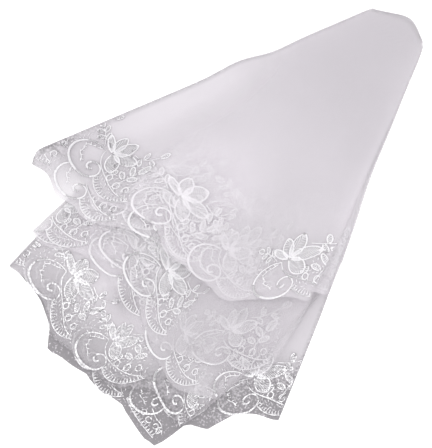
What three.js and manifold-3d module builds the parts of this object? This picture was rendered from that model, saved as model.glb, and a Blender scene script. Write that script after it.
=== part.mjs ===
// A tulle bridal veil with an embroidered border, folded into a flat fan and laid down.
//
// The cloth is one oval piece of about 1.2 by 0.85 m. It is doubled over and pleated into four
// leaves about its middle, so the fan is eight leaves thick. The middle of the cloth is the rounded
// narrow end, and its scalloped hem spreads at the wide end, the upper half's set back.
//
// Millimetres, +Z up. The leaves are laid out in polar coordinates about the point where the two
// long sides of the fan would meet: an angle is measured from -X towards -Y, so 0 degrees points
// to -X and 90 degrees to -Y. The underside of the lowest leaf is the plane z = 0.
import * as THREE from 'three';
import { mergeVertices } from 'three/addons/utils/BufferGeometryUtils.js';
import Module from 'manifold-3d';

const RADIANS = Math.PI / 180;

// Driving dimensions
const PIVOT_X = 258.5; // where the fan's sides would meet, with the origin under the box's middle
const PIVOT_Y = 280.56;
const CLOTH = 1.0; // thickness of the net with its loft
const LEAF_PITCH = 3.2; // rise from one leaf to the next, with room for the embroidery between
const LEAVES = 4; // leaves in each half
const SIDE_LEFT = 23.1; // the fan's two straight sides
const SIDE_RIGHT = 70.1;
const TIP_REACH = 57.6; // nearest the rounded narrow end comes to the pivot
const TIP_ROUNDING = 27; // how much further off its two shoulders are
const TIP_MIDDLE = 50;
const TIP_HALF_ANGLE = 27;
const SCALLOP_DEPTH = 4; // how far the hem swings in at each loop and out at each bar
const SCALLOP_WAIST = 1.4; // how far it swings in again between the two

// Gentle billow that opens the leaves, nothing at the narrow end and full at the hems
const BILLOW = 0.10;
const BILLOW_PERIOD = 30;
const BILLOW_SLANT = 0.05; // degrees of shift for each millimetre outwards
const BILLOW_START = 110;
const BILLOW_FULL = 330;

// The top leaf rolls over softly at its left corner
const ROLL_LIFT = 5;
const ROLL_ANGLE = 24;
const ROLL_SPREAD = 10;
const ROLL_START = 300;
const ROLL_FULL = 480;

// Small waves of the two sides: where they are, how long, and how far they swing
const SIDE_WAVES = [
  { side: 'left', radius: 210, length: 26, swing: 0.6 },
  { side: 'left', radius: 248, length: 30, swing: -0.9 },
  { side: 'right', radius: 84, length: 34, swing: 1.5 },
  { side: 'right', radius: 235, length: 62, swing: -0.9 },
];

// The long edges of the leaves, in order across the cloth's width: a raw side, three folds and
// the other raw side. Each leaves the fan's straight side at one radius and reaches its own angle
// at another, where it meets the hem.
const EDGES = {
  lower: [
    { name: 'raw side', side: 'right', leaves: 250, reaches: 486, angle: 66.0 },
    { name: 'fold', side: 'left', leaves: 170, reaches: 548, angle: 31.6 },
    { name: 'fold', side: 'right', leaves: 340, reaches: 596, angle: 59.2 },
    { name: 'fold', side: 'left', leaves: 170, reaches: 589, angle: 33.4 },
    { name: 'raw side', side: 'right', leaves: 400, reaches: 530, angle: 69.6 },
  ],
  upper: [
    { name: 'raw side', side: 'right', leaves: 200, reaches: 384, angle: 67.0 },
    { name: 'fold', side: 'left', leaves: 250, reaches: 475, angle: 26.0 },
    { name: 'fold', side: 'right', leaves: 250, reaches: 375, angle: 69.6 },
    { name: 'fold', side: 'left', leaves: 300, reaches: 505, angle: 23.0 },
    { name: 'raw side', side: 'right', leaves: 150, reaches: 389, angle: 67.2 },
  ],
};

// The hem of each leaf: its radius at six even steps from left to right, the angles of the first
// and last loop of its border, and how many loops there are. The first leaf of each half is the
// innermost of the doubled bundle.
const HEMS = {
  lower: [
    { left: 548, second: 505, third: 500, fourth: 522, fifth: 512, right: 486, first: 44.2, last: 58.2, loops: 2 },
    { left: 548, second: 517, third: 512, fourth: 532, fifth: 548, right: 545, first: 39.8, last: 51.4, loops: 2 },
    { left: 588, second: 585, third: 599, fourth: 599, fifth: 575, right: 592, first: 37.0, last: 56.3, loops: 3 },
    { left: 589, second: 588, third: 607, fourth: 603, fifth: 563, right: 529, first: 45.8, last: 64.6, loops: 3 },
  ],
  upper: [
    { left: 440, second: 420, third: 407, fourth: 412, fifth: 396, right: 384, first: 32.5, last: 58.5, loops: 3 },
    { left: 460, second: 430, third: 398, fourth: 390, fifth: 384, right: 375, first: 34.0, last: 61.0, loops: 3 },
    { left: 505, second: 488, third: 444, fourth: 430, fifth: 407, right: 375, first: 28.8, last: 63.4, loops: 4 },
    { left: 478, second: 461, third: 432, fourth: 440, fifth: 427, right: 389, first: 27.0, last: 61.4, loops: 4 },
  ],
};

// Where a hem is drawn out to a corner, or in to a notch, and how many degrees before and after
// it that begins
const CORNERS = [
  { half: 'lower', leaf: 3, angle: 42.6, rise: 23, before: 1.5, after: 5.0 },
  { half: 'lower', leaf: 3, angle: 51.5, rise: -7, before: 2.2, after: 2.0 },
  { half: 'lower', leaf: 3, angle: 58.1, rise: 34.7, before: 5.4, after: 2.0 },
  { half: 'lower', leaf: 3, angle: 62.4, rise: 17, before: 2.3, after: 2.1 },
];

// Embroidery
const CORD_WIDTH = 3.0;
const CORD_HEIGHT = 1.3;
const PETALS_HEIGHT = 1.0;
const EMBROIDERY_GAP = 0.4; // the border's underside above the net
const HEM_SLOPE_SPAN = 2.5; // degrees to each side over which the hem's direction is taken
const HEM_WALK_STEPS = 4;
const HEM_LEAN = 0.5; // 0 points the flowers at the pivot, 1 squarely across the hem
const FLOWER = { x: 12, y: 47, core: 9, reach: 22, petals: 5 };

// The scalloped loop of cord from the flower's base, round the scallop and into a curl, and the
// plain bar to the next loop. x runs along the hem to the right, y from the hem inwards.
const LOOP_CORD = [
  [5, 43], [-10, 41], [-21, 33], [-23, 20], [-16, 11], [-5, 7], [9, 7], [19, 11], [23, 19], [18, 26], [10, 25], [9, 18],
];
const BAR_CORD = [[21, 12], [31, 8], [43, 7], [54, 8], [62, 11]];

// How finely the cloth is faceted
const LEAF_STEPS = 16; // one of them falls on the pointed corner
const FOLD_STEPS = 4;
const TURN_STEPS = 5;
const RUN_STEPS = 7;
const ROWS_GATHER = 1.5; // above 1 draws the rows towards the hem

const NET = new THREE.MeshStandardMaterial({
  color: 0xe4e0e6, roughness: 0.85, metalness: 0, transparent: true, opacity: 0.75, side: THREE.DoubleSide,
});
const SATIN = new THREE.MeshStandardMaterial({ color: 0xf6f3f7, roughness: 0.45, metalness: 0 });

const mix = (a, b, t) => a + (b - a) * t;
const clamp01 = (t) => Math.min(1, Math.max(0, t));
const smooth = (from, to, value) => {
  const t = clamp01((value - from) / (to - from));
  return t * t * (3 - 2 * t);
};
const bell = (offset, length) => Math.exp(-((offset / length) ** 2));

// Heights, all measured from the middle of the doubled-over bundle
const MIDDLE = (LEAVES - 0.5) * LEAF_PITCH + CLOTH / 2;
const leafHeight = (leaf) => (leaf + 0.5) * LEAF_PITCH;

// Angle of one of the fan's straight sides at a radius, with its small waves
function sideAngle(side, radius) {
  const straight = side === 'left' ? SIDE_LEFT : SIDE_RIGHT;
  return SIDE_WAVES.filter((wave) => wave.side === side)
    .reduce((angle, wave) => angle + wave.swing * bell(radius - wave.radius, wave.length), straight);
}

// Angle of a raw side or fold of the cloth at a radius
function edgeAngle(half, index, radius) {
  const edge = EDGES[half][index];
  const along = Math.max(0, (radius - edge.leaves) / (edge.reaches - edge.leaves));
  return mix(sideAngle(edge.side, radius), edge.angle, Math.min(along, 1.1));
}

// Even leaves run from their right edge to their left one, odd leaves back again
const leftEdge = (leaf) => (leaf % 2 === 0 ? leaf + 1 : leaf);
const rightEdge = (leaf) => (leaf % 2 === 0 ? leaf : leaf + 1);

// Radius of a leaf's hem without its scallops; across runs 0..1 from the left edge to the right
function hemRadius(half, leaf, across) {
  const row = HEMS[half][leaf];
  const radii = [row.left, row.second, row.third, row.fourth, row.fifth, row.right];
  const curve = new THREE.SplineCurve(radii.map((radius, step) => new THREE.Vector2(step, radius)));
  return curve.getPoint(clamp01(across)).y;
}

// Degrees from one loop of a border to the next
const loopStep = (row) => (row.last - row.first) / (row.loops - 1);

// How far across a leaf an angle lies at its hem
function acrossAtHem(half, leaf, angle) {
  const row = HEMS[half][leaf];
  const left = edgeAngle(half, leftEdge(leaf), row.left);
  const right = edgeAngle(half, rightEdge(leaf), row.right);
  return (angle - left) / (right - left);
}

// The cut edge: the hem with its scallops, which swing out under the bars, and its corners
function scallopedRadius(half, leaf, across) {
  const row = HEMS[half][leaf];
  const left = edgeAngle(half, leftEdge(leaf), row.left);
  const right = edgeAngle(half, rightEdge(leaf), row.right);
  const angle = mix(left, right, across);
  const repeats = (angle - row.first) / loopStep(row);
  const corners = CORNERS.filter((corner) => corner.half === half && corner.leaf === leaf)
    .reduce((rise, corner) => {
      const span = angle < corner.angle ? corner.before : corner.after;
      return rise + corner.rise * clamp01(1 - Math.abs(angle - corner.angle) / span);
    }, 0);
  const scallops = SCALLOP_WAIST * Math.cos(4 * Math.PI * repeats) - SCALLOP_DEPTH * Math.cos(2 * Math.PI * repeats);
  return hemRadius(half, leaf, across) + scallops + corners;
}

// Radius at which the middle of the bundle doubles over
function turnRadius(angle) {
  const outer = TIP_REACH + TIP_ROUNDING * ((angle - TIP_MIDDLE) / TIP_HALF_ANGLE) ** 2;
  return outer + leafHeight(LEAVES - 1) + CLOTH / 2;
}

// Sets a point of the stack in space, with the billow and the roll of the top leaf
function placed(angle, radius, height) {
  const phase = (2 * Math.PI * (angle + BILLOW_SLANT * radius)) / BILLOW_PERIOD;
  const swell = 1 + BILLOW * smooth(BILLOW_START, BILLOW_FULL, radius) * (0.5 + 0.5 * Math.sin(phase));
  const topLeaf = (2 * LEAVES - 1) * LEAF_PITCH;
  const roll = ROLL_LIFT * bell(angle - ROLL_ANGLE, ROLL_SPREAD) * smooth(ROLL_START, ROLL_FULL, radius)
    * clamp01((height - topLeaf) / CORD_WIDTH + 0.14);
  return new THREE.Vector3(
    PIVOT_X - radius * Math.cos(angle * RADIANS),
    PIVOT_Y - radius * Math.sin(angle * RADIANS),
    height * swell + roll,
  );
}

// The columns of the folded section, from one raw side to the other. Each is on a leaf, or on a
// fold where turn runs 0..1 round the bend from one leaf to the next.
function sectionColumns() {
  const columns = [];
  for (let leaf = 0; leaf < LEAVES; leaf += 1) {
    for (let step = 0; step <= LEAF_STEPS; step += 1) {
      const run = step / LEAF_STEPS;
      columns.push({ leaf, across: leaf % 2 === 0 ? 1 - run : run, turn: 0 });
    }
    for (let step = 1; leaf < LEAVES - 1 && step < FOLD_STEPS; step += 1) {
      columns.push({ leaf, across: leaf % 2 === 0 ? 0 : 1, turn: step / FOLD_STEPS });
    }
  }
  return columns;
}

// Where a column lies in the section: its height above the bundle's middle and how far it stands
// out past the fold line. The face is -1 for the cloth's one face and +1 for the other.
function sectionPoint(column, face) {
  const opening = column.leaf % 2 === 0 ? 1 : -1;
  if (column.turn === 0) {
    return { height: leafHeight(column.leaf) - (opening * face * CLOTH) / 2, out: 0 };
  }
  const bend = LEAF_PITCH / 2 + (opening * face * CLOTH) / 2;
  const swing = column.turn * Math.PI;
  return {
    height: leafHeight(column.leaf) + LEAF_PITCH / 2 - bend * Math.cos(swing),
    out: -opening * bend * Math.sin(swing),
  };
}

// Angle and hem radius of a column, in one half of the cloth
function columnAngle(half, column, radius, out) {
  const left = edgeAngle(half, leftEdge(column.leaf), radius);
  const right = edgeAngle(half, rightEdge(column.leaf), radius);
  return mix(left, right, column.across) + out / radius / RADIANS;
}

function columnHem(half, column) {
  const radius = scallopedRadius(half, column.leaf, column.across);
  if (column.turn === 0) return radius;
  return mix(radius, scallopedRadius(half, column.leaf + 1, column.across), column.turn);
}

// One row of the cloth after another: in along the lower half, round the turn, out along the upper
function clothRows() {
  const rows = [];
  for (let step = 0; step < RUN_STEPS; step += 1) rows.push({ half: 'lower', inward: step / RUN_STEPS });
  for (let step = 0; step <= TURN_STEPS; step += 1) {
    rows.push({ half: step * 2 < TURN_STEPS ? 'lower' : 'upper', inward: 1, turn: step / TURN_STEPS });
  }
  for (let step = RUN_STEPS - 1; step >= 0; step -= 1) rows.push({ half: 'upper', inward: step / RUN_STEPS });
  return rows;
}

function clothPoint(row, column, face) {
  const { height, out } = sectionPoint(column, face);
  const turning = turnRadius(mix(sideAngle('left', TIP_REACH), sideAngle('right', TIP_REACH), column.across));
  if (row.turn !== undefined) {
    const swing = (row.turn - 0.5) * Math.PI;
    const angle = columnAngle(row.half, column, turning, out);
    return placed(angle, turning - height * Math.cos(swing), MIDDLE + height * Math.sin(swing));
  }
  const radius = mix(turning, columnHem(row.half, column), (1 - row.inward) ** (1 / ROWS_GATHER));
  const rise = row.half === 'lower' ? -height : height;
  return placed(columnAngle(row.half, column, radius, out), radius, MIDDLE + rise);
}

// The folded cloth as one closed wall: two faces, closed along the raw sides and the hems
function foldedCloth() {
  const rows = clothRows();
  const columns = sectionColumns();
  const positions = [];
  for (const face of [-1, 1]) {
    for (const row of rows) {
      for (const column of columns) positions.push(...clothPoint(row, column, face).toArray());
    }
  }
  const width = columns.length;
  const at = (side, row, column) => (side * rows.length + row) * width + column;
  const index = [];
  const quad = (a, b, c, d) => index.push(a, b, c, a, c, d);
  for (let row = 0; row < rows.length - 1; row += 1) {
    for (let column = 0; column < width - 1; column += 1) {
      quad(at(0, row, column), at(0, row, column + 1), at(0, row + 1, column + 1), at(0, row + 1, column));
      quad(at(1, row + 1, column), at(1, row + 1, column + 1), at(1, row, column + 1), at(1, row, column));
    }
    quad(at(0, row, 0), at(0, row + 1, 0), at(1, row + 1, 0), at(1, row, 0));
    quad(at(1, row, width - 1), at(1, row + 1, width - 1), at(0, row + 1, width - 1), at(0, row, width - 1));
  }
  const last = rows.length - 1;
  for (let column = 0; column < width - 1; column += 1) {
    quad(at(1, 0, column), at(1, 0, column + 1), at(0, 0, column + 1), at(0, 0, column));
    quad(at(0, last, column), at(0, last, column + 1), at(1, last, column + 1), at(1, last, column));
  }
  const geometry = new THREE.BufferGeometry();
  geometry.setAttribute('position', new THREE.Float32BufferAttribute(positions, 3));
  geometry.setIndex(index);
  return geometry;
}

// A flat cord of even width along a line of points
function cordGeometry(points) {
  const line = points.map(([x, y]) => new THREE.Vector2(x, y));
  const offset = (step, side) => {
    const before = line[Math.max(0, step - 1)];
    const after = line[Math.min(line.length - 1, step + 1)];
    const along = after.clone().sub(before).normalize();
    return line[step].clone().add(new THREE.Vector2(-along.y, along.x).multiplyScalar((side * CORD_WIDTH) / 2));
  };
  const steps = line.map((_, step) => step);
  const outline = [...steps.map((step) => offset(step, -1)), ...steps.reverse().map((step) => offset(step, 1))];
  return new THREE.ExtrudeGeometry(new THREE.Shape(outline), { depth: CORD_HEIGHT, bevelEnabled: false });
}

// The flower's petals as one scalloped plate
function flowerGeometry() {
  const outline = [];
  const points = FLOWER.petals * 4;
  for (let step = 0; step < points; step += 1) {
    const turn = (step / points) * 2 * Math.PI;
    const petal = Math.abs(Math.cos((FLOWER.petals * turn) / 2)) ** 0.6;
    const reach = mix(FLOWER.core, FLOWER.reach, petal);
    outline.push(new THREE.Vector2(FLOWER.x + reach * Math.sin(turn), FLOWER.y + reach * Math.cos(turn)));
  }
  return new THREE.ExtrudeGeometry(new THREE.Shape(outline), { depth: PETALS_HEIGHT, bevelEnabled: false });
}

const wasm = await Module();
wasm.setup();

function solidOf(geometry) {
  const bare = new THREE.BufferGeometry();
  bare.setAttribute('position', geometry.getAttribute('position'));
  const merged = mergeVertices(bare);
  return new wasm.Manifold(new wasm.Mesh({
    numProp: 3,
    vertProperties: new Float32Array(merged.getAttribute('position').array),
    triVerts: new Uint32Array(merged.getIndex().array),
  }));
}

// One repeat of the border, flat: flower and loop, and the bar where there is room for it
function flatMotif(withBar) {
  let solid = solidOf(flowerGeometry()).add(solidOf(cordGeometry(LOOP_CORD)));
  if (withBar) solid = solid.add(solidOf(cordGeometry(BAR_CORD)));
  return solid.getMesh();
}

// A point of the hem's smooth line, a distance along it from an angle, and its inward direction
function hemFrame(half, leaf, centre, distance) {
  const radiusAt = (angle) => hemRadius(half, leaf, acrossAtHem(half, leaf, angle));
  const pointAt = (angle) => new THREE.Vector2(-Math.cos(angle * RADIANS), -Math.sin(angle * RADIANS))
    .multiplyScalar(radiusAt(angle));
  let angle = centre;
  for (let step = 0; step < HEM_WALK_STEPS; step += 1) {
    const ahead = pointAt(angle + HEM_SLOPE_SPAN).distanceTo(pointAt(angle - HEM_SLOPE_SPAN));
    angle += (distance / HEM_WALK_STEPS) * ((2 * HEM_SLOPE_SPAN) / ahead);
  }
  const along = pointAt(angle + HEM_SLOPE_SPAN).sub(pointAt(angle - HEM_SLOPE_SPAN)).normalize();
  const point = pointAt(angle);
  const toPivot = point.clone().negate().normalize();
  return { point, inward: toPivot.lerp(new THREE.Vector2(-along.y, along.x), HEM_LEAN).normalize() };
}

// Lays a flat motif on a leaf along its hem, centred on an angle
function laidMotif(motif, half, leaf, centre) {
  const rise = half === 'lower' ? -leafHeight(leaf) : leafHeight(leaf);
  const onNet = MIDDLE + rise + CLOTH / 2 + EMBROIDERY_GAP;
  const positions = new Float32Array(motif.vertProperties.length);
  for (let at = 0; at < positions.length; at += 3) {
    const [x, y, height] = motif.vertProperties.slice(at, at + 3);
    const { point, inward } = hemFrame(half, leaf, centre, x);
    const place = point.addScaledVector(inward, y);
    const angle = Math.atan2(-place.y, -place.x) / RADIANS;
    placed(angle, place.length(), onNet + height).toArray(positions, at);
  }
  const geometry = new THREE.BufferGeometry();
  geometry.setAttribute('position', new THREE.BufferAttribute(positions, 3));
  geometry.setIndex(Array.from(motif.triVerts));
  return geometry;
}

function named(name, geometry, material) {
  const mesh = new THREE.Mesh(geometry, material);
  mesh.name = name;
  return mesh;
}

const veil = new THREE.Group();
veil.add(named('folded_tulle', foldedCloth(), NET));

const motifWithBar = flatMotif(true);
const motifAlone = flatMotif(false);
const BAR_END = BAR_CORD[BAR_CORD.length - 1][0] + CORD_WIDTH;
for (const half of ['lower', 'upper']) {
  HEMS[half].forEach((row, leaf) => {
    for (let loop = 0; loop < row.loops; loop += 1) {
      const centre = row.first + loop * loopStep(row);
      const baseline = hemRadius(half, leaf, acrossAtHem(half, leaf, centre));
      const room = edgeAngle(half, rightEdge(leaf), baseline) - centre;
      const motif = room * RADIANS * baseline > BAR_END ? motifWithBar : motifAlone;
      veil.add(named(`border_${half}_${leaf + 1}_${loop + 1}`, laidMotif(motif, half, leaf, centre), SATIN));
    }
  });
}

export default veil;
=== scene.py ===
"""A tulle bridal veil with an embroidered border, folded into a flat fan and laid down.

The net is one sheet, pleated into four leaves and doubled over at its rounded narrow end. The
border is stitched flat, one repeat at a time, and each repeat is then laid along a leaf's hem.
The veil's lengths are in millimetres and its angles in degrees, until placed() gives metres.
"""
import math
from collections import namedtuple

import bmesh
import bpy
import numpy as np
from mathutils import Matrix, Vector


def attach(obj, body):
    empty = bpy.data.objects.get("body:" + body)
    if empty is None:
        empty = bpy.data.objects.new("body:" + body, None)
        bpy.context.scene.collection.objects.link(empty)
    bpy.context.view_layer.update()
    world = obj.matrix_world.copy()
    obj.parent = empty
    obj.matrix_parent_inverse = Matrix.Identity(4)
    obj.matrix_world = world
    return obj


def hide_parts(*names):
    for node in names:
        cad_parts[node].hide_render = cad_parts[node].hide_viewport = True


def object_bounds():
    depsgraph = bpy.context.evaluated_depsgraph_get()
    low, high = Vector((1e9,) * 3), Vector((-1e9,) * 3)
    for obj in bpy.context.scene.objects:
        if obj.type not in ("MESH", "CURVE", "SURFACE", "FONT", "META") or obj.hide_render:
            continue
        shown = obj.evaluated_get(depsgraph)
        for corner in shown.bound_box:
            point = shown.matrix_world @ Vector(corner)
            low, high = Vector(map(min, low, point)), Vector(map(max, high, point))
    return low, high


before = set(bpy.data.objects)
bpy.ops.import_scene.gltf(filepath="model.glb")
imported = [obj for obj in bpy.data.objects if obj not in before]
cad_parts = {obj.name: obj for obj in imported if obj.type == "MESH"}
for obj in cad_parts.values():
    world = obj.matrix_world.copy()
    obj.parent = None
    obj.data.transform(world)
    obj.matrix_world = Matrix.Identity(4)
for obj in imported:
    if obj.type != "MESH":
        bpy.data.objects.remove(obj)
frame_low, frame_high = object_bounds()

MM = 0.001

# The fan, as the frame has it: polar about the point where its two straight sides would meet
PIVOT = (258.5, 280.56)
CLOTH = 1.0
LEAF_PITCH = 3.2
LEAVES = 4
SIDE = {"left": 23.1, "right": 70.1}
TIP_REACH = 57.6
TIP_ROUNDING = 27.0
TIP_MIDDLE = 50.0
TIP_HALF_ANGLE = 27.0
SCALLOP_DEPTH = 4.0
SCALLOP_WAIST = 1.4
MIDDLE = (LEAVES - 0.5) * LEAF_PITCH + CLOTH / 2

# Billow of the whole stack
BILLOW = 0.10
BILLOW_PERIOD = 30.0
BILLOW_SLANT = 0.05
BILLOW_RANGE = (110.0, 330.0)

# Fine wrinkles: waves across the fan, by the radian, and along it, by the millimetre
Ripple = namedtuple("Ripple", "across along start share")
RIPPLES = [
    Ripple(31.0, 0.0, 0.9, 0.40),
    Ripple(57.0, 0.011, 0.0, 0.25),
    Ripple(9.0, 0.031, 0.0, 0.35),
]
RIPPLE_DEPTH = 0.03
RIPPLE_RANGE = (90.0, 260.0)

# Soft roll of the top leaf's left corner
ROLL_LIFT = 5.0
ROLL_ANGLE = 24.0
ROLL_SPREAD = 10.0
ROLL_RANGE = (300.0, 480.0)
ROLL_FADE = 3.0
ROLL_FOOT = 0.14

Wave = namedtuple("Wave", "side radius length swing")
SIDE_WAVES = [
    Wave("left", 210, 26, 0.6),
    Wave("left", 248, 30, -0.9),
    Wave("right", 84, 34, 1.5),
    Wave("right", 235, 62, -0.9),
]

# The long edges of the leaves across the cloth: raw side, three folds, raw side. Each leaves a
# side of the fan at one radius and reaches its own angle at another
Edge = namedtuple("Edge", "side leaves reaches angle")
EDGES = {
    "lower": [
        Edge("right", 250, 486, 66.0),
        Edge("left", 170, 548, 31.6),
        Edge("right", 340, 596, 59.2),
        Edge("left", 170, 589, 33.4),
        Edge("right", 400, 530, 69.6),
    ],
    "upper": [
        Edge("right", 200, 384, 67.0),
        Edge("left", 250, 475, 26.0),
        Edge("right", 250, 375, 69.6),
        Edge("left", 300, 505, 23.0),
        Edge("right", 150, 389, 67.2),
    ],
}
EDGE_OVERRUN = 1.1

# The left corner of the two top leaves is round: at which fold, from where, and how far it swings
ROUND_EDGE = ("upper", 3)
ROUND_START = 488.0
ROUND_LENGTH = 18.0
ROUND_SWING = 0.7
ROUND_OVERRUN = 1.2

# Each leaf's hem: six radii from left to right, then its first and last loop and their number
Hem = namedtuple("Hem", "left second third fourth fifth right first last loops")
HEM_RADII = 6
HEMS = {
    "lower": [
        Hem(548, 505, 500, 522, 512, 486, 44.2, 58.2, 2),
        Hem(548, 517, 512, 532, 548, 545, 39.8, 51.4, 2),
        Hem(588, 585, 599, 599, 575, 592, 37.0, 56.3, 3),
        Hem(589, 588, 607, 603, 563, 529, 45.8, 64.6, 3),
    ],
    "upper": [
        Hem(440, 420, 407, 412, 396, 384, 32.5, 58.5, 3),
        Hem(460, 430, 398, 390, 384, 375, 34.0, 61.0, 3),
        Hem(505, 488, 444, 430, 407, 375, 28.8, 63.4, 4),
        Hem(478, 461, 432, 440, 427, 389, 27.0, 61.4, 4),
    ],
}

# Points and one notch of the hems: their angle, how far they stand out, and their spans each way
Corner = namedtuple("Corner", "half leaf angle rise before after")
CORNERS = [
    Corner("lower", 3, 42.6, 23.0, 1.5, 5.0),
    Corner("lower", 3, 50.9, -8.5, 2.6, 2.4),
    Corner("lower", 3, 56.7, 3.0, 1.6, 1.0),
    Corner("lower", 3, 58.1, 34.7, 5.4, 2.0),
    Corner("lower", 3, 62.4, 17.0, 2.3, 2.1),
    Corner("upper", 2, 29.6, 8.0, 2.6, 2.6),
]

# How a repeat follows a hem
HEM_SLOPE_SPAN = 2.5
HEM_WALK_STEPS = 4
HEM_LEAN = 0.5

# Repeats, as half, leaf and loop, that lie on the under face of their leaf, and ends left plain
UPPER_FACE = 1
UNDER_FACE = -1
SEEN_THROUGH = {("lower", 0, 1), ("upper", 2, 3), ("upper", 3, 1), ("upper", 3, 2)}
PLAIN_ENDS = {("upper", 0, 3), ("upper", 1, 3), ("upper", 2, 4)}

# Leaves with little net over them, whose stitching is crisp
CRISP_LEAVES = {("lower", 2), ("lower", 3)}

# Further repeats that gathers bring between the others, on under faces, at an inset from the hem
Between = namedtuple("Between", "name half leaf angle inset")
BETWEEN = [
    Between("inner_top", "upper", 2, 34.4, 9),
    Between("inner_middle", "lower", 0, 40.2, 3),
    Between("inner_left", "lower", 1, 34.6, 14),
    Between("inner_low", "lower", 1, 45.6, 26),
]

# Painted shade of each leaf, as grey in its net colour: towards its hem, over how many millimetres, at its
# cut edge, and all over
# All over it sets the net's own grey too, and for the lower leaves adds painted shade
Shade = namedtuple("Shade", "hem span edge everywhere")
SHADES = {
    "lower": [
        Shade(0.03, 110, 0.05, 0.14),
        Shade(0.04, 110, 0.06, 0.14),
        Shade(0.22, 75, 0.14, 0.17),
        Shade(0.46, 95, 0.12, 0.25),
    ],
    "upper": [
        Shade(0.02, 110, 0.04, 0.11),
        Shade(0.02, 110, 0.04, 0.11),
        Shade(0.03, 110, 0.05, 0.11),
        Shade(0.03, 110, 0.05, 0.11),
    ],
}
# Bands of the painted shade at hems and cut edges, and the angles where it eases off to the left and right
HEM_BAND = 6.0
CUT_BAND = (0.5, 7.0)
LEFT_LIGHTER = (33.0, 42.0)
LEFT_SHARE = 0.45
RIGHT_LIGHTER = (58.0, 63.0)
RIGHT_SHARE = 0.55

# How strong the painted shade and painted light of the net are at some places, where those are, and where
# the net opens over the last flower
FOLD_SHADE = 0.12
APEX_SHADE = 0.06
APEX_RADII = (100.0, 320.0)
Strip = namedtuple("Strip", "angle spread radii")
TIP_SHADE = 0.09
LEFT_TIP = Strip(26.0, 4.0, (425.0, 470.0))
LEFT_SHADE = 0.09
LEFT_STRIP = Strip(24.0, 5.0, (180.0, 300.0))
# Painted light: the net's colour brightened near the open hems, against the shade between its leaves
PAINTED_HEM_LIGHT = 0.14
OPEN_MARGIN = (90.0, 170.0)
OPEN_FROM = (30.0, 36.0)
OPEN_UNTIL = (43.0, 54.0)
Spot = namedtuple("Spot", "angle spread radius reach")
THIN_SHADE = 0.16
THIN_PLACE = Spot(45.3, 1.9, 512.0, 15.0)
LAST_FLOWER_FROM = (58.0, 62.0)
LAST_FLOWER_RADIUS = 505.0
LAST_FLOWER_REACH = 50.0

# How much more the threads of each leaf hide, and how much of that opens near the left hems
LOWER_COVER = [0.0, 0.15, 0.5, 1.0]
LOWER_OPENING = [0.5, 0.5, 0.45, 0.0]
UPPER_OPENING = 0.42

# How finely the sheet is made
LEAF_STEPS = 56
FOLD_STEPS = 6
TURN_STEPS = 9
RUN_STEPS = 60
ROWS_GATHER = 1.3

# Threads of the embroidery: their width, their height and the distance between their points
Stitch = namedtuple("Stitch", "width height spacing")
PETAL_RIM = Stitch(1.7, 1.2, 1.6)
LEAF_RIM = Stitch(1.4, 1.2, 1.6)
CORNER_LEAF_RIM = Stitch(1.1, 1.2, 1.6)
CHEVRON = Stitch(0.95, 0.8, 3.0)
STAMEN = Stitch(1.3, 1.5, 2.0)
STALK = Stitch(1.1, 0.9, 1.6)
CORNER_STALK = Stitch(1.3, 1.0, 1.6)
SPRIG = Stitch(1.2, 0.9, 1.6)
THORN = Stitch(1.0, 0.8, 2.0)
TOOTH = Stitch(0.9, 0.8, 3.0)
SEED = Stitch(0.8, 0.7, 3.0)
EYELET_RING = Stitch(1.5, 1.0, 1.3)
THREAD_SIDES = 6
NET_TO_STITCH = 0.2
FINE_STEPS = 40
TINY = 1e-9

# Satin cords, ridged by their stitches. In a repeat x runs along the hem and y in from it
RIDGE_PITCH = 1.7
RIDGE_POINTS = 3
RIDGE_DEPTH = 0.22
LOOP_PATH = [
    (6, 44), (-7, 42.5), (-19, 35), (-24, 23), (-19, 11), (-7, 5), (7, 4), (18, 8), (23.5, 17),
    (20, 24.5), (12.5, 26), (6.5, 22), (6.5, 17), (10.5, 15), (14, 18),
]
LOOP_WIDTHS = [1.5, 1.7, 2.2, 2.9, 3.2, 3.2, 3.0, 2.6, 2.2, 2.0, 2.2, 2.5, 2.8, 3.0, 2.6]
LOOP_HEIGHT = 1.5
STEM_PATH = [(6, 44), (9, 36), (15, 29.5), (24, 24.5), (35, 20), (46, 15.5), (57, 12.5), (67, 13)]
STEM_WIDTH = 1.5
STEM_HEIGHT = 1.0
BAR_PATH = [(23, 12), (29, 6.5), (37, 2.2), (47, 0.6), (57, 2.2), (65, 6.5), (72, 12)]
BAR_WIDTH = 1.3
BAR_HEIGHT = 1.0
TOOTH_PITCH = 1.9
TOOTH_LENGTHS = [5.6, 3.6, 6.6, 4.4, 2.8]
TOOTH_SLANTS = [-0.15, 0.25]

# The thorny sprig inside a loop
SPRIG_PATH = [(2, 42), (-6, 38), (-12, 35), (-15, 30), (-12, 26), (-11, 21), (-5, 18), (-1, 14)]
THORN_PITCH = 3.0
THORN_REACH = (2.6, 1.6)

# The flower
FLOWER_CENTRE = (15, 47)
Petal = namedtuple("Petal", "turn length width hook")
PETALS = [
    Petal(-42, 25, 16, -2.0),
    Petal(10, 33, 14, 2.5),
    Petal(58, 29, 15, 2.0),
    Petal(108, 24, 13, -2.0),
    Petal(154, 26, 8, -1.5),
]
PETAL_SWELL = 1.15
PETAL_FULLNESS = 0.62
PETAL_START = 0.03
PETAL_POINTS = 9
PETAL_CROWDING = 0.8
CHEVRON_PITCH = 1.9
CHEVRON_LEAST = 3
CHEVRON_REACH = 0.86
CHEVRON_SLANT = 0.13
CHEVRON_END = 0.97
STAMEN_TURNS = [30, 52, 76, 98]
STAMEN_LENGTH = 9.5

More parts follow.
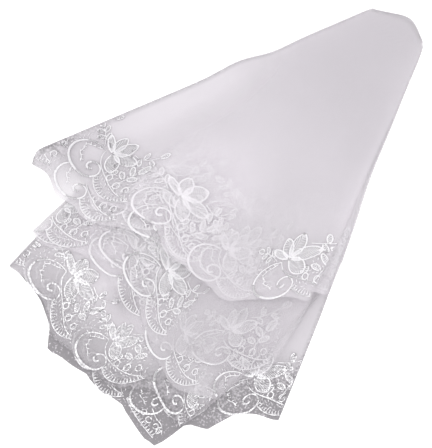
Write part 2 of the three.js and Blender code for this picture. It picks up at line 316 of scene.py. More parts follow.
# Stalks with their small leaves, and eyelets
Leaf = namedtuple("Leaf", "x y turn length width")
STALK_PATHS = [
    [(45, 16), (49, 25), (53, 35), (58, 45)],
    [(0, 46), (-7, 52), (-15, 56), (-23, 58)],
    [(36, 62), (46, 62), (56, 66), (66, 74)],
]
SMALL_LEAVES = [
    Leaf(50, 31, 142, 12, 6),
    Leaf(52, 33, 28, 13, 6),
    Leaf(55, 39, 120, 14, 6),
    Leaf(58, 45, 62, 17, 7),
    Leaf(33, 27, 62, 10, 5),
    Leaf(-6, 51, 105, 11, 5),
    Leaf(-9, 53, 215, 10, 5),
    Leaf(-15, 56, 120, 11, 5),
    Leaf(-17, 56, 205, 9, 5),
    Leaf(-23, 58, 165, 11, 6),
    Leaf(46, 62, 300, 10, 5),
    Leaf(50, 63, 85, 11, 5),
    Leaf(58, 67, 325, 10, 5),
    Leaf(66, 74, 48, 12, 6),
]
SMALL_LEAF_HOOK = 1.0
Eyelet = namedtuple("Eyelet", "x y across along")
EYELETS = [Eyelet(36, 24, 3.0, 3.8), Eyelet(49, 21, 3.4, 4.2), Eyelet(61, 22, 3.0, 3.8)]
EYELET_POINTS = 13

# Seed stitches, scattered everywhere but inside the loop
SEEDS = 170
SEED_ALONG = (-26.0, 72.0)
SEED_INWARD = (9.0, 56.0)
SEED_STRIDE = 6.1
SEED_TURN = 2.4
SEED_REACH = 1.5
GOLDEN = 0.618034
LOOP_MIDDLE = 24.0
LOOP_INSIDE = (25.0, 22.0)

# The drawn-out corner of the lowest leaf: its side, as two polar points, and the trim along it
CORNER_SIDE = [(52.7, 603.0), (57.9, 622.5)]
CORNER_BAR = [(0, 7), (16.2, 4), (35.1, 3.5), (54, 4.5)]
CORNER_STALK_PATH = [(27, 24), (37.8, 21), (48.6, 21), (56.7, 15)]
CORNER_EYELETS = [Eyelet(24.3, 14, 3.0, 3.2), Eyelet(34.56, 13, 3.6, 3.2), Eyelet(45.36, 15, 2.8, 3.2)]
CORNER_LEAF = Leaf(51.84, 10, 95, 10, 5)
CORNER_LEAF_HOOK = 0.5

# Cutting a repeat along the leaf's edges, as straight lines a little inside them
TRIM_RUN = 90.0
TRIM_INSIDE = 1.2
CUT_TOLERANCE = 1e-7

# Tulle: its white, and the grey of its painted shade, its cell in metres, how opaque its holes and threads
# are, its noises per metre
NET_COLOUR = (0.80, 0.762, 0.808, 1.0)
NET_SHADE = (0.235, 0.224, 0.238, 1.0)
NET_CELL = 0.95 * MM
NET_THREAD_EDGE = (0.10, 0.26)
NET_OPEN = 0.30
NET_THREAD = 0.62
NET_COVERED = 0.5
CLOUD_SCALE = 9.0
CLOUD_DEPTH = 0.16
FLECK_SCALE = 420.0
FLECK_DEPTH = 9.0
# Flecks show only where painted shade takes the net's colour below this level
FLECKED_BELOW = 0.74

# Stitching: the names and greys of its three looks, and its grain
Look = namedtuple("Look", "name dark light contrast")
LOOKS = {
    "crisp": Look("satin_stitching", 0.50, 0.95, 5.0),
    "soft": Look("soft_stitching", 0.67, 0.79, 2.4),
    "veiled": Look("veiled_stitching", 0.71, 0.79, 2.0),
}
DARK_TINT = (1.0, 0.97, 1.02)
LIGHT_TINT = (1.0, 0.99, 1.01)
GRAIN_SCALE = 2400.0
GRAIN_SHARE = 0.3
GRAIN_DEPTH = 0.2 * MM
PATCH_SCALE = 420.0
PATCH_LEVEL = 0.55
THREAD_ROUGHNESS = (0.42, 0.62)

# Floor, light and view, in metres
FLOOR_SIZE = 4.0
FLOOR_DROP = 0.3 * MM
FLOOR_GREYS = [(0.93, 0.93, 0.93, 1.0), (0.95, 0.95, 0.95, 1.0)]
FLOOR_SPECKS = 5.0
FLOOR_GLOW = 0.22
ROOM_LIGHT = 1.25
WINDOW_PLACE = (-0.25, 0.2, 1.8)
WINDOW_SIZE = 0.8
WINDOW_POWER = 9.0
NET_LAYERS_SEEN = 32
PHOTO_SIZE = (432, 448)
PHOTO_SCALE = 1.13 * MM
PHOTO_CENTRE = (0.0008, 0.0040)
LENS = 100.0
SENSOR = 36.0


def mix(a, b, t):
    return a + (b - a) * t


def smooth(low, high, value):
    t = np.clip((value - low) / (high - low), 0.0, 1.0)
    return t * t * (3 - 2 * t)


def bell(offset, length):
    return np.exp(-((offset / length) ** 2))


def heading(turn):
    """The way that an angle in radians points, as x and y."""
    return np.array([math.cos(turn), math.sin(turn)])


def finished_mesh(bm, name):
    mesh = bpy.data.meshes.new(name)
    bm.to_mesh(mesh)
    bm.free()
    return mesh


def shown(name, mesh, material):
    """A new object of a mesh, with its material, in the scene."""
    mesh.materials.append(material)
    piece = bpy.data.objects.new(name, mesh)
    bpy.context.collection.objects.link(piece)
    return piece


# The folded shape


def side_angle(side, radius):
    """Angle of one of the fan's straight sides at a radius, with its small waves."""
    waves = [wave for wave in SIDE_WAVES if wave.side == side]
    return SIDE[side] + sum(wave.swing * bell(radius - wave.radius, wave.length) for wave in waves)


def edge_angle(half, index, radius):
    """Angle of a raw side or fold of the cloth at a radius."""
    edge = EDGES[half][index]
    along = np.clip((radius - edge.leaves) / (edge.reaches - edge.leaves), 0.0, EDGE_OVERRUN)
    angle = mix(side_angle(edge.side, radius), edge.angle, along)
    if (half, index) == ROUND_EDGE:
        angle = angle + ROUND_SWING * np.clip((radius - ROUND_START) / ROUND_LENGTH, 0.0, ROUND_OVERRUN) ** 3
    return angle


def left_edge(leaf):
    return leaf + 1 if leaf % 2 == 0 else leaf


def right_edge(leaf):
    return leaf if leaf % 2 == 0 else leaf + 1


def leaf_angle(half, leaf, across, radius):
    """Angle at a share of the way across a leaf, from its left edge to its right."""
    left = edge_angle(half, left_edge(leaf), radius)
    return mix(left, edge_angle(half, right_edge(leaf), radius), across)


def hem_span(half, leaf):
    """Angles of the two ends of a leaf's hem."""
    row = HEMS[half][leaf]
    return edge_angle(half, left_edge(leaf), row.left), edge_angle(half, right_edge(leaf), row.right)


def through(points, t):
    """A smooth curve through evenly spaced values, at 0..1 along it."""
    points = np.asarray(points, dtype=float)
    last = len(points) - 1
    place = np.clip(np.asarray(t, dtype=float), 0.0, 1.0) * last
    start = np.minimum(np.floor(place).astype(int), last - 1)
    f = place - start
    if points.ndim > 1:
        f = f[..., None]
    before, here = points[np.maximum(start - 1, 0)], points[start]
    there, after = points[start + 1], points[np.minimum(start + 2, last)]
    leaving, arriving = (there - before) / 2, (after - here) / 2
    cubic = 2 * here - 2 * there + leaving + arriving
    square = -3 * here + 3 * there - 2 * leaving - arriving
    return ((cubic * f + square) * f + leaving) * f + here


def hem_radius(half, leaf, angle):
    """Radius of a leaf's hem without its scallops."""
    left, right = hem_span(half, leaf)
    return through(HEMS[half][leaf][:HEM_RADII], (angle - left) / (right - left))


def loop_step(row):
    return (row.last - row.first) / (row.loops - 1)


def cut_radius(half, leaf, angle):
    """Radius of the cut edge: the hem with its scallops and corners."""
    row = HEMS[half][leaf]
    turn = 2 * np.pi * (angle - row.first) / loop_step(row)
    radius = hem_radius(half, leaf, angle) + SCALLOP_WAIST * np.cos(2 * turn)
    radius = radius - SCALLOP_DEPTH * np.cos(turn)
    for corner in CORNERS:
        if (corner.half, corner.leaf) == (half, leaf):
            span = np.where(angle < corner.angle, corner.before, corner.after)
            radius = radius + corner.rise * np.clip(1 - np.abs(angle - corner.angle) / span, 0, 1)
    return radius


def level_of(half, leaf):
    """Height of a leaf above the surface, in its unbillowed stack."""
    rise = (leaf + 0.5) * LEAF_PITCH
    return MIDDLE - rise if half == "lower" else MIDDLE + rise


def ripple(angle, radius):
    """Fine soft wrinkles of the net, mostly along its length, from -1 to 1."""
    turn = np.radians(angle)
    waves = [row.share * np.sin(row.across * turn + row.along * radius + row.start) for row in RIPPLES]
    return sum(waves) * smooth(*RIPPLE_RANGE, radius)


def placed(angle, radius, height):
    """Points of the stack in space, in metres, with its billow and the roll of the top leaf."""
    phase = 2 * np.pi * (angle + BILLOW_SLANT * radius) / BILLOW_PERIOD
    swell = 1 + BILLOW * smooth(*BILLOW_RANGE, radius) * (0.5 + 0.5 * np.sin(phase))
    swell = swell + RIPPLE_DEPTH * ripple(angle, radius)
    top = (2 * LEAVES - 1) * LEAF_PITCH
    roll = ROLL_LIFT * bell(angle - ROLL_ANGLE, ROLL_SPREAD) * smooth(*ROLL_RANGE, radius)
    roll = roll * np.clip((height - top) / ROLL_FADE + ROLL_FOOT, 0.0, 1.0)
    turn = np.radians(angle)
    x = PIVOT[0] - radius * np.cos(turn)
    y = PIVOT[1] - radius * np.sin(turn)
    return np.stack(np.broadcast_arrays(x, y, height * swell + roll), axis=-1) * MM


def turn_radius(angle):
    """Radius at which the middle of the bundle doubles over."""
    outer = TIP_REACH + TIP_ROUNDING * ((angle - TIP_MIDDLE) / TIP_HALF_ANGLE) ** 2
    return outer + (LEAVES - 0.5) * LEAF_PITCH + CLOTH / 2


# Net sheet

Column = namedtuple("Column", "leaf across turn")
Row = namedtuple("Row", "half inward turn")


def section_columns():
    """Columns across the cloth: along each leaf, and round each fold between two."""
    columns = []
    for leaf in range(LEAVES):
        for step in range(LEAF_STEPS + 1):
            run = step / LEAF_STEPS
            columns.append(Column(leaf, 1 - run if leaf % 2 == 0 else run, 0.0))
        if leaf < LEAVES - 1:
            side = 0.0 if leaf % 2 == 0 else 1.0
            columns += [Column(leaf, side, step / FOLD_STEPS) for step in range(1, FOLD_STEPS)]
    return columns


def sheet_rows():
    """Rows along the cloth: in from the lower hem, round the narrow end, out to the upper hem."""
    rows = [Row("lower", step / RUN_STEPS, None) for step in range(RUN_STEPS)]
    for step in range(TURN_STEPS + 1):
        rows.append(Row("lower" if step * 2 < TURN_STEPS else "upper", 1.0, step / TURN_STEPS))
    return rows + [Row("upper", step / RUN_STEPS, None) for step in range(RUN_STEPS - 1, -1, -1)]


def column_hem(half, column):
    """Cut edge of a column; round a fold it passes from one leaf's hem to the next one's."""
    ends = []
    for leaf in range(column.leaf, column.leaf + 1 + (column.turn > 0)):
        left, right = hem_span(half, leaf)
        ends.append(cut_radius(half, leaf, mix(left, right, column.across)))
    return mix(ends[0], ends[-1], column.turn)


def flat_angle(half, column, radius):
    """Angle in radians of a point of the cloth when its leaves are opened out flat."""
    widths = [leaf_angle(half, leaf, 1, radius) - leaf_angle(half, leaf, 0, radius)
              for leaf in range(column.leaf + 1)]
    run = column.across if column.leaf % 2 else 1 - column.across
    return math.radians(sum(widths[:-1]) + widths[-1] * run)


def sheet_points(rows, columns):
    """Place, flat position and distance from the hem of every point of the sheet."""
    places, flats, margins = [], [], []
    sides = [side_angle(side, TIP_REACH) for side in ("left", "right")]
    for column in columns:
        opening = 1 if column.leaf % 2 == 0 else -1
        swing = column.turn * math.pi
        rise = (column.leaf + 0.5) * LEAF_PITCH + LEAF_PITCH / 2 * (1 - math.cos(swing))
        out = -opening * LEAF_PITCH / 2 * math.sin(swing)
        turning = turn_radius(mix(*sides, column.across))
        hems = {half: column_hem(half, column) for half in EDGES}
        for row in rows:
            if row.turn is None:
                radius = mix(turning, hems[row.half], (1 - row.inward) ** (1 / ROWS_GATHER))
                reach, height = radius, MIDDLE + (rise if row.half == "upper" else -rise)
            else:
                radius = turning
                bend = (row.turn - 0.5) * math.pi
                reach, height = turning - rise * math.cos(bend), MIDDLE + rise * math.sin(bend)
            angle = leaf_angle(row.half, column.leaf, column.across, radius) + math.degrees(out / radius)
            places.append(placed(angle, reach, height))
            flats.append(heading(flat_angle(row.half, column, radius)) * reach * MM)
            margins.append(hems[row.half] - radius)
    return np.array(places), np.array(flats), np.array(margins)


def make_net(material):
    """The net cloth as one sheet: a flat grid, folded by moving its points."""
    rows, columns = sheet_rows(), section_columns()
    places, flats, margins = sheet_points(rows, columns)
    bm = bmesh.new()
    bmesh.ops.create_grid(bm, x_segments=len(columns) - 1, y_segments=len(rows) - 1, size=1.0)
    flat_map = bm.loops.layers.uv.new("flat")
    # The net's painted light and shade, and how much its threads hide
    painted_shading = bm.verts.layers.float.new("painted_shading")
    cover = bm.verts.layers.float.new("cover")
    order = {}
    for vert in bm.verts:
        across = round((vert.co.x + 1) / 2 * (len(columns) - 1))
        along = round((vert.co.y + 1) / 2 * (len(rows) - 1))
        column, half = columns[across], rows[along].half
        point = across * len(rows) + along
        order[vert.index] = point
        vert.co = places[point]
        place = margins[point], *polar_place(vert.co)
        at_edge = column.turn > 0 or column.across in (0.0, 1.0)
        # Painted light and shade for the net's colour, with more painted shade along its folds and raw sides
        vert[painted_shading] = painted_net_shading(half, column.leaf, *place) - FOLD_SHADE * at_edge
        vert[cover] = net_cover(half, column.leaf, *place)
    for face in bm.faces:
        for loop in face.loops:
            loop[flat_map].uv = flats[order[loop.vert.index]]
    mesh = finished_mesh(bm, "net_sheet")
    mesh.polygons.foreach_set("use_smooth", [True] * len(mesh.polygons))
    return shown("net_sheet", mesh, material)


def polar_place(place):
    """Angle and radius, in millimetres, of a point of the fan."""
    x, y = PIVOT[0] - place.x / MM, PIVOT[1] - place.y / MM
    return math.degrees(math.atan2(y, x)), math.hypot(x, y)


def on_strip(strip, half, angle, radius):
    """1 on a strip of the left edge of the upper leaves, which lies few leaves deep and gets painted shade,
    0 elsewhere.
    """
    beside = bell(max(angle - strip.angle, 0), strip.spread)
    return float((half == "upper") * beside * smooth(*strip.radii, radius))


def at_open_hem(margin, angle):
    """1 near the hems of the left part, where the embroidery beneath shows through and painted light
    brightens the net, 0 elsewhere.
    """
    near = (1 - smooth(*OPEN_MARGIN, margin)) * (1 - smooth(*OPEN_UNTIL, angle))
    return float(near * smooth(*OPEN_FROM, angle))


def at_last_flower(angle, radius):
    """1 over the last flower of the lowest hem, which shows through the leaves above it, else 0."""
    return float(smooth(*LAST_FLOWER_FROM, angle) * bell(radius - LAST_FLOWER_RADIUS, LAST_FLOWER_REACH))


def at_thin_place(half, angle, radius):
    """1 in the middle of a small place of the lower half where few leaves lie and painted shade goes, 0
    elsewhere.
    """
    spread = bell(angle - THIN_PLACE.angle, THIN_PLACE.spread)
    return float((half == "lower") * spread * bell(radius - THIN_PLACE.radius, THIN_PLACE.reach))


def painted_net_shading(half, leaf, margin, angle, radius):
    """Painted light and shade for the net's colour: painted shade at the lowest hems, which lie fewest
    leaves deep, and at other places, and painted light near the open hems.
    """
    shade = SHADES[half][leaf]
    # Painted shade towards the hem and at the cut edge, eased off to the left and to the right
    near_hem = shade.hem * (1 - float(smooth(HEM_BAND, shade.span, margin)))
    near_cut = shade.edge * (1 - float(smooth(*CUT_BAND, margin)))
    sideways = mix(LEFT_SHARE, 1.0, float(smooth(*LEFT_LIGHTER, angle)))
    sideways *= mix(1.0, RIGHT_SHARE, float(smooth(*RIGHT_LIGHTER, angle)))
    # Painted light near the open hems, save on the lowest leaf
    lowest = half == "lower" and leaf == LEAVES - 1
    painted_light = 0.0 if lowest else PAINTED_HEM_LIGHT * at_open_hem(margin, angle)
    # Painted shade at the left tip and strip, near the apex and at the thin place
    painted_shade = TIP_SHADE * on_strip(LEFT_TIP, half, angle, radius)
    painted_shade += LEFT_SHADE * on_strip(LEFT_STRIP, half, angle, radius)
    painted_shade += APEX_SHADE * (1 - float(smooth(*APEX_RADII, radius)))
    painted_shade += THIN_SHADE * at_thin_place(half, angle, radius)
    return 1 + painted_light - shade.everywhere - (near_hem + near_cut) * sideways - painted_shade


def net_cover(half, leaf, margin, angle, radius):
    """How much the threads of a leaf hide: more in the lowest leaves, less near the left hems."""
    if half == "lower":
        opening = max(at_open_hem(margin, angle), at_last_flower(angle, radius))
        return LOWER_COVER[leaf] - LOWER_OPENING[leaf] * opening
    return on_strip(LEFT_STRIP, half, angle, radius) - UPPER_OPENING * at_open_hem(margin, angle)


# Embroidery, stitched flat


def even_path(points, spacing):
    """Points at even spacing along a smooth curve through the given ones, with 0..1 places."""
    fine = np.linspace(0, 1, FINE_STEPS * len(points))
    line = through(points, fine)
    lengths = np.concatenate([[0], np.cumsum(np.linalg.norm(np.diff(line, axis=0), axis=1))])
    count = max(2, int(round(lengths[-1] / spacing)) + 1)
    places = np.interp(np.linspace(0, lengths[-1], count), lengths, fine)
    return through(points, places), places


def thread(target, path, widths, height):
    """Sweeps a thread along a path: a capped ring, extruded from point to point."""
    bm = bmesh.new()
    rings = []
    for step, (x, y) in enumerate(path):
        ahead = path[min(step + 1, len(path) - 1)] - path[max(step - 1, 0)]
        ahead = ahead / max(np.linalg.norm(ahead), TINY)
        width = widths[step]
        tall = height * min(1.0, width / max(widths))
        rings.append(Matrix((
            (-ahead[1] * width / 2, 0, ahead[0], x),
            (ahead[0] * width / 2, 0, ahead[1], y),
            (0, tall / 2, 0, NET_TO_STITCH + tall / 2),
            (0, 0, 0, 1),
        )))
    bmesh.ops.create_circle(bm, cap_ends=True, segments=THREAD_SIDES, radius=1.0, matrix=rings[0])
    end = bm.faces[:]
    for step in range(1, len(rings)):
        grown = bmesh.ops.extrude_face_region(bm, geom=end, use_keep_orig=step == 1)["geom"]
        end = [item for item in grown if isinstance(item, bmesh.types.BMFace)]
        moved = [item for item in grown if isinstance(item, bmesh.types.BMVert)]
        bmesh.ops.transform(bm, matrix=rings[step] @ rings[step - 1].inverted(), verts=moved)
    bmesh.ops.recalc_face_normals(bm, faces=bm.faces[:])
    mesh = finished_mesh(bm, "thread")
    target.from_mesh(mesh)
    bpy.data.meshes.remove(mesh)


def satin_cord(target, points, widths, height):
    """A thick cord, ridged by the satin stitches that cross it."""
    path, places = even_path(points, RIDGE_PITCH / RIDGE_POINTS)
    ridges = 1 - RIDGE_DEPTH * (np.arange(len(path)) % RIDGE_POINTS == 0)
    thread(target, path, through(widths, places) * ridges, height)


def plain_thread(target, points, stitch):
    path, _ = even_path(np.asarray(points, dtype=float), stitch.spacing)
    thread(target, path, [stitch.width] * len(path), stitch.height)


def petal(target, base, shape, rim):
    """A pointed petal: a corded rim, and stitches in a chevron from its midrib."""
    ahead = heading(math.radians(shape.turn))
    beside = np.array([-ahead[1], ahead[0]])

    def at(t, side):
        bow = shape.hook * t * t
        reach = shape.width / 2 * math.sin(math.pi * t ** PETAL_SWELL) ** PETAL_FULLNESS * side
        return np.asarray(base) + ahead * shape.length * t + beside * (bow + reach)

    steps = np.linspace(PETAL_START, 1.0, PETAL_POINTS) ** PETAL_CROWDING
    outline = [at(t, 1) for t in steps] + [at(t, -1) for t in steps[-2::-1]]
    plain_thread(target, outline, rim)
    count = max(CHEVRON_LEAST, round(shape.length / CHEVRON_PITCH))
    for step in range(1, count):
        t = step / count
        for side in (-CHEVRON_REACH, CHEVRON_REACH):
            tip = at(min(t + CHEVRON_SLANT, CHEVRON_END), side)
            plain_thread(target, [at(t, 0), tip], CHEVRON)


def small_leaf(target, leaf, hook, rim):
    petal(target, (leaf.x, leaf.y), Petal(leaf.turn, leaf.length, leaf.width, hook), rim)


def flower(target):
    for shape in PETALS:
        petal(target, FLOWER_CENTRE, shape, PETAL_RIM)
    for turn in STAMEN_TURNS:
        tip = FLOWER_CENTRE + heading(math.radians(turn)) * STAMEN_LENGTH
        plain_thread(target, [FLOWER_CENTRE, tip], STAMEN)


def sprig(target):
    """The thorny sprig inside a loop, its thorns on either side in turn."""
    path, _ = even_path(SPRIG_PATH, THORN_PITCH)
    plain_thread(target, SPRIG_PATH, SPRIG)
    for step, (x, y) in enumerate(path[1:]):
        side = THORN_REACH[0] if step % 2 else -THORN_REACH[0]
        plain_thread(target, [(x, y), (x + side, y + THORN_REACH[1])], THORN)


def blanket_bar(target, points):
    """A scallop's bar: an edge cord with short blanket stitches standing in from it."""
    satin_cord(target, points, [BAR_WIDTH] * len(points), BAR_HEIGHT)
    path, _ = even_path(points, TOOTH_PITCH)
    for step in range(len(path) - 1):
        ahead = (path[step + 1] - path[step]) / TOOTH_PITCH
        inward = np.array([-ahead[1], ahead[0]]) + ahead * TOOTH_SLANTS[step % len(TOOTH_SLANTS)]
        tip = path[step] + inward * TOOTH_LENGTHS[step % len(TOOTH_LENGTHS)]
        plain_thread(target, [path[step], tip], TOOTH)


def seed_stitches(target):
    """Small stitches scattered over the border outside its loop, each turned another way."""
    start, end = SEED_ALONG
    for step in range(SEEDS):
        x = start + (step * SEED_STRIDE) % (end - start)
        y = mix(*SEED_INWARD, (step * GOLDEN) % 1.0)
        if math.hypot(x / LOOP_INSIDE[0], (y - LOOP_MIDDLE) / LOOP_INSIDE[1]) < 1:
            continue
        reach = heading(SEED_TURN * step) * SEED_REACH
        plain_thread(target, [(x, y) - reach, (x, y) + reach], SEED)


def eyelet(target, row):
    turns = np.linspace(0, 2 * np.pi, EYELET_POINTS)
    ring = np.stack([row.x + row.across * np.cos(turns), row.y + row.along * np.sin(turns)], axis=-1)
    plain_thread(target, ring, EYELET_RING)


def flat_repeat():
    """One repeat of the border, stitched flat."""
    bm = bmesh.new()
    satin_cord(bm, LOOP_PATH, LOOP_WIDTHS, LOOP_HEIGHT)
    satin_cord(bm, STEM_PATH, [STEM_WIDTH] * len(STEM_PATH), STEM_HEIGHT)
    sprig(bm)
    blanket_bar(bm, BAR_PATH)
    flower(bm)
    for path in STALK_PATHS:
        plain_thread(bm, path, STALK)
    for leaf in SMALL_LEAVES:
        small_leaf(bm, leaf, SMALL_LEAF_HOOK, LEAF_RIM)
    for row in EYELETS:
        eyelet(bm, row)
    seed_stitches(bm)
    return finished_mesh(bm, "flat_repeat")


def corner_trim():
    """The border of the drawn-out corner, stitched flat: a bar along its side, with eyelets."""
    bm = bmesh.new()
    blanket_bar(bm, CORNER_BAR)
    for row in CORNER_EYELETS:
        eyelet(bm, row)
    plain_thread(bm, CORNER_STALK_PATH, CORNER_STALK)
    small_leaf(bm, CORNER_LEAF, CORNER_LEAF_HOOK, CORNER_LEAF_RIM)
    return finished_mesh(bm, "flat_corner")


# Embroidery, laid on the leaves

Place = namedtuple("Place", "half leaf line baseline face inset")


def hem_point(half, leaf, angle):
    radius = hem_radius(half, leaf, angle)
    turn = np.radians(angle)
    return np.stack([-radius * np.cos(turn), -radius * np.sin(turn)], axis=-1)


def hem_chord(half, leaf, angle):
    """The way a hem runs at angles, as a chord over a short stretch."""
    return hem_point(half, leaf, angle + HEM_SLOPE_SPAN) - hem_point(half, leaf, angle - HEM_SLOPE_SPAN)


def along_hem(half, leaf, centre, distance):
    """Points of the hem's smooth line at distances along it, and the inward direction there."""
    angle = np.full_like(distance, centre)
    for _ in range(HEM_WALK_STEPS):
        chord = hem_chord(half, leaf, angle)
        angle = angle + distance / HEM_WALK_STEPS * 2 * HEM_SLOPE_SPAN / np.linalg.norm(chord, axis=-1)
    chord = hem_chord(half, leaf, angle)
    point = hem_point(half, leaf, angle)
    along = chord / np.linalg.norm(chord, axis=-1, keepdims=True)
    to_pivot = -point / np.linalg.norm(point, axis=-1, keepdims=True)
    across = np.stack([-along[:, 1], along[:, 0]], axis=-1)
    inward = mix(to_pivot, across, HEM_LEAN)
    return point, inward / np.linalg.norm(inward, axis=-1, keepdims=True)


def along_corner(distance):
    """Points of the straight line along the drawn-out corner's side, and the way in from it."""
    start, end = (-radius * heading(math.radians(angle)) for angle, radius in CORNER_SIDE)
    ahead = (end - start) / np.linalg.norm(end - start)
    return start + ahead * distance[:, None], np.array([[-ahead[1], ahead[0]]])


def hem_place(half, leaf, centre, face, inset=0.0):
    """A place along a leaf's hem, its middle at an angle."""

    def line(distance):
        return along_hem(half, leaf, centre, distance)

    baseline = float(hem_radius(half, leaf, np.array(centre)))
    return Place(half, leaf, line, baseline, face, inset)


def trim_to_leaf(bm, place):
    """Cuts away what would pass a leaf's two long edges, and closes the cut threads."""
    for index, outward in ((left_edge(place.leaf), -1), (right_edge(place.leaf), 1)):
        ends = []
        for radius in (place.baseline, place.baseline - TRIM_RUN):
            inside = outward * math.degrees(TRIM_INSIDE / radius)
            ends.append(Vector(placed(edge_angle(place.half, index, radius) - inside, radius, 0.0)))
        run = (ends[1] - ends[0]).normalized()
        outside = Vector((run.y, -run.x, 0)) * outward
        bmesh.ops.bisect_plane(bm, geom=bm.verts[:] + bm.edges[:] + bm.faces[:], dist=CUT_TOLERANCE,
                               plane_co=ends[0], plane_no=outside, clear_outer=True)
    open_edges = [edge for edge in bm.edges if edge.is_boundary]
    bmesh.ops.holes_fill(bm, edges=open_edges, sides=0)
    bmesh.ops.recalc_face_normals(bm, faces=bm.faces[:])


def lay(flat_mesh, name, place, material):
    """Lays a copy of flat embroidery on a leaf, along the place's line and on one of its faces."""
    mesh = flat_mesh.copy()
    flat = np.empty(len(mesh.vertices) * 3)
    mesh.vertices.foreach_get("co", flat)
    flat = flat.reshape(-1, 3)
    point, inward = place.line(flat[:, 0])
    spread = point + inward * (flat[:, 1:2] + place.inset)
    angle = np.degrees(np.arctan2(-spread[:, 1], -spread[:, 0]))
    height = level_of(place.half, place.leaf) + place.face * flat[:, 2]
    mesh.vertices.foreach_set("co", placed(angle, np.linalg.norm(spread, axis=-1), height).ravel())
    bm = bmesh.new()
    bm.from_mesh(mesh)
    bpy.data.meshes.remove(mesh)
    trim_to_leaf(bm, place)
    mesh = finished_mesh(bm, name)
    if not mesh.polygons:
        bpy.data.meshes.remove(mesh)
        return None
    mesh.polygons.foreach_set("use_smooth", [True] * len(mesh.polygons))
    piece = shown(name, mesh, material)
    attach(piece, "root")
    return piece


def look_of(half, leaf, loop):
    """Which look the stitching of a repeat has."""
    if (half, leaf, loop) in SEEN_THROUGH:
        return "veiled"
    return "crisp" if (half, leaf) in CRISP_LEAVES else "soft"


def lay_repeat(repeat, half, leaf, loop, threads):
    """Lays one repeat along a leaf's hem; those before the first and after the last are part ones."""
    if (half, leaf, loop) in PLAIN_ENDS:
        return None
    row = HEMS[half][leaf]
    whole = 0 <= loop < row.loops
    part = "left" if loop < 0 else "right"
    name = f"stitched_{half}_{leaf + 1}_{loop + 1 if whole else part}"
    face = UNDER_FACE if (half, leaf, loop) in SEEN_THROUGH else UPPER_FACE
    place = hem_place(half, leaf, row.first + loop * loop_step(row), face)
    piece = lay(repeat, name, place, threads[look_of(half, leaf, loop)])
    if piece and whole:
        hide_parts(f"border_{half}_{leaf + 1}_{loop + 1}")
    return piece


def make_border(threads):
    """The drawn-out corner's trim, every repeat of the border, and those that gathers add between."""
    repeat, corner = flat_repeat(), corner_trim()
    place = Place("lower", LEAVES - 1, along_corner, CORNER_SIDE[1][1], UPPER_FACE, 0.0)
    pieces = [lay(corner, "stitched_corner", place, threads["crisp"])]
    for half in ("lower", "upper"):
        for leaf, row in enumerate(HEMS[half]):
            pieces += [lay_repeat(repeat, half, leaf, loop, threads) for loop in range(-1, row.loops + 1)]
    for row in BETWEEN:
        place = hem_place(row.half, row.leaf, row.angle, UNDER_FACE, row.inset)
        pieces.append(lay(repeat, f"stitched_{row.name}", place, threads["veiled"]))
    bpy.data.meshes.remove(repeat)
    bpy.data.meshes.remove(corner)
    return [piece for piece in pieces if piece]


# Shader maths

MIX_SOCKETS = (0, 6, 7)
MIX_RESULT = 2


class Socket:
    """A shader value. Sums written with it add their own Math nodes."""

    def __init__(self, tree, output):
        self.tree, self.output = tree, output

    def math(self, operation, *others):
        return self.tree.add("ShaderNodeMath", {"operation": operation}, [self, *others])

    def __add__(self, other):
        return self.math("ADD", other)

    def __sub__(self, other):
        return self.math("SUBTRACT", other)

    def __mul__(self, other):
        return self.math("MULTIPLY", other)

    def __truediv__(self, other):
        return self.math("DIVIDE", other)

    def __radd__(self, other):
        return self.tree.value(other, self, "ADD")

    def __rsub__(self, other):
        return self.tree.value(other, self, "SUBTRACT")

    def __rmul__(self, other):
        return self.tree.value(other, self, "MULTIPLY")

    def __rtruediv__(self, other):
        return self.tree.value(other, self, "DIVIDE")


class Finish:
    """A material and the one way to add a node to it."""

    def __init__(self, name, **principled):
        self.material = bpy.data.materials.new(name)
        self.material.use_nodes = True
        self.nodes = self.material.node_tree.nodes
        self.links = self.material.node_tree.links
        self.shader = self.nodes["Principled BSDF"]
        for socket, value in principled.items():
            self.shader.inputs[socket.replace("_", " ")].default_value = value

    def add(self, kind, settings=None, inputs=(), output=0):
        node = self.nodes.new(kind)
        for key, value in (settings or {}).items():
            setattr(node, key, value)
        pairs = inputs.items() if isinstance(inputs, dict) else enumerate(inputs)
        for key, value in pairs:
            self.join(value, node.inputs[key])
        return Socket(self, node.outputs[output])

    def value(self, number, socket, operation):
        return self.add("ShaderNodeMath", {"operation": operation}, [number, socket])

    def blend(self, share, first, second):
        """A colour between two; a Mix node's colour sockets go by number, as their names repeat."""
        inputs = dict(zip(MIX_SOCKETS, (share, first, second)))
        return self.add("ShaderNodeMix", {"data_type": "RGBA", "clamp_factor": True}, inputs, MIX_RESULT)

    def noise(self, scale, detail):
        """Noise on Object coordinates."""
        place = self.add("ShaderNodeTexCoord", output="Object")
        return self.add("ShaderNodeTexNoise", inputs={"Vector": place, "Scale": scale, "Detail": detail})

    def attribute(self, name):
        return self.add("ShaderNodeAttribute", {"attribute_name": name}, output="Fac")

    def join(self, value, target):
        if isinstance(value, Socket):
            self.links.new(value.output, target)
        else:
            target.default_value = value

    def feed(self, **sockets):
        for name, value in sockets.items():
            self.join(value, self.shader.inputs[name.replace("_", " ")])


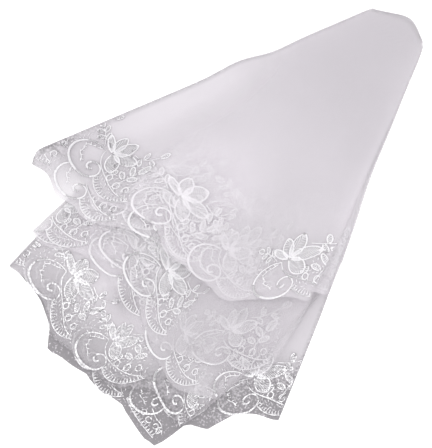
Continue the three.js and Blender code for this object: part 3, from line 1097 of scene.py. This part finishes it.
def hexagon_mesh(finish, cell):
    """Distance from the threads of a hexagonal net: 0 on a thread, 0.5 in the middle of a hole."""
    flat = finish.add("ShaderNodeUVMap", {"uv_map": "flat"})
    across, along = (finish.add("ShaderNodeSeparateXYZ", inputs=[flat], output=axis) / cell for axis in "XY")
    tall = math.sqrt(3)
    offsets = []
    for shift in (0.0, 0.5):
        x = (across + shift).math("FRACT") - 0.5
        y = ((along / tall + shift).math("FRACT") - 0.5) * tall
        offsets.append((x, y, x * x + y * y))
    (x0, y0, far0), (x1, y1, far1) = offsets
    nearer = far0.math("LESS_THAN", far1)
    x = (x1 + (x0 - x1) * nearer).math("ABSOLUTE")
    y = (y1 + (y0 - y1) * nearer).math("ABSOLUTE")
    slanted = x * 0.5 + y * (tall / 2)
    return 0.5 - slanted.math("MAXIMUM", x)


def net_finish():
    """Soft white tulle: a fine hexagonal net, half open, its colour set by painted shade where it lies
    singly, and flecked there.
    """
    finish = Finish("tulle_net", Roughness=0.85, Sheen_Weight=0.15, Specular_IOR_Level=0.2)
    near, far = NET_THREAD_EDGE
    edge = {"Value": hexagon_mesh(finish, NET_CELL), "From Min": near, "From Max": far,
            "To Min": 1.0, "To Max": 0.0}
    threads = finish.add("ShaderNodeMapRange", {"interpolation_type": "SMOOTHSTEP"}, edge)
    # The sheet's painted light and shade set the colour between the painted-shade grey and the white
    painted_shading = finish.attribute("painted_shading")
    cloud = (finish.noise(CLOUD_SCALE, 2.0) - 0.5) * CLOUD_DEPTH
    grey_rim = (FLECKED_BELOW - painted_shading).math("MAXIMUM", 0.0)
    flecks = (finish.noise(FLECK_SCALE, 1.0) - 0.5) * grey_rim * FLECK_DEPTH
    colour = finish.blend((painted_shading - 0.5) * 2 + cloud + flecks, NET_SHADE, NET_COLOUR)
    open_part = finish.attribute("cover") * NET_COVERED + NET_OPEN
    finish.feed(Base_Color=colour, Alpha=threads * (NET_THREAD - NET_OPEN) + open_part)
    return finish.material


def tinted(grey, tint):
    return (*(grey * part for part in tint), 1.0)


def thread_finish(look):
    """White satin stitching with the grain of its threads, between two greys."""
    finish = Finish(look.name, Sheen_Weight=0.1, Specular_IOR_Level=0.4)
    grain, patches = finish.noise(GRAIN_SCALE, 2.0), finish.noise(PATCH_SCALE, 1.0)
    uneven = grain * GRAIN_SHARE + patches * (1 - GRAIN_SHARE) - 0.5
    colour = finish.blend(uneven * look.contrast + PATCH_LEVEL,
                          tinted(look.dark, DARK_TINT), tinted(look.light, LIGHT_TINT))
    bump = finish.add("ShaderNodeBump", inputs={"Strength": 0.5, "Distance": GRAIN_DEPTH, "Height": grain})
    smoothest, roughest = THREAD_ROUGHNESS
    finish.feed(Base_Color=colour, Roughness=smoothest + grain * (roughest - smoothest), Normal=bump)
    return finish.material


def floor_finish():
    finish = Finish("pale_floor", Roughness=0.9, Emission_Strength=FLOOR_GLOW)
    colour = finish.blend(finish.noise(FLOOR_SPECKS, 2.0), *FLOOR_GREYS)
    finish.feed(Base_Color=colour, Emission_Color=colour)
    return finish.material


# Stage


def make_floor():
    bm = bmesh.new()
    bmesh.ops.create_grid(bm, x_segments=1, y_segments=1, size=FLOOR_SIZE)
    bmesh.ops.translate(bm, vec=(0, 0, -FLOOR_DROP), verts=bm.verts[:])
    shown("floor", finished_mesh(bm, "floor"), floor_finish())


def make_light():
    """Even white light from all round, and a broad soft lamp above."""
    world = bpy.data.worlds.new("studio")
    bpy.context.scene.world = world
    world.use_nodes = True
    background = world.node_tree.nodes["Background"]
    background.inputs["Color"].default_value = (1.0, 1.0, 1.0, 1.0)
    background.inputs["Strength"].default_value = ROOM_LIGHT
    data = bpy.data.lights.new("window", "AREA")
    data.shape = "SQUARE"
    data.size = WINDOW_SIZE
    data.energy = WINDOW_POWER
    lamp = bpy.data.objects.new("window", data)
    lamp.location = WINDOW_PLACE
    lamp.rotation_euler = (-Vector(WINDOW_PLACE)).to_track_quat("-Z", "Y").to_euler()
    bpy.context.collection.objects.link(lamp)
    bpy.context.scene.view_settings.view_transform = "Standard"


def make_camera():
    """Looks straight down, as the photograph does, with its frame's width and height."""
    data = bpy.data.cameras.new("camera")
    data.lens = LENS
    data.sensor_width = SENSOR
    camera = bpy.data.objects.new("camera", data)
    height = PHOTO_SIZE[1] * PHOTO_SCALE / SENSOR * LENS
    camera.location = (*PHOTO_CENTRE, height + (frame_high.z + frame_low.z) / 2)
    bpy.context.collection.objects.link(camera)
    bpy.context.scene.camera = camera


make_camera()
make_light()
make_floor()
bpy.context.scene.cycles.transparent_max_bounces = NET_LAYERS_SEEN

net = make_net(net_finish())
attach(net, "root")
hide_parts("folded_tulle")
border = make_border({look: thread_finish(row) for look, row in LOOKS.items()})
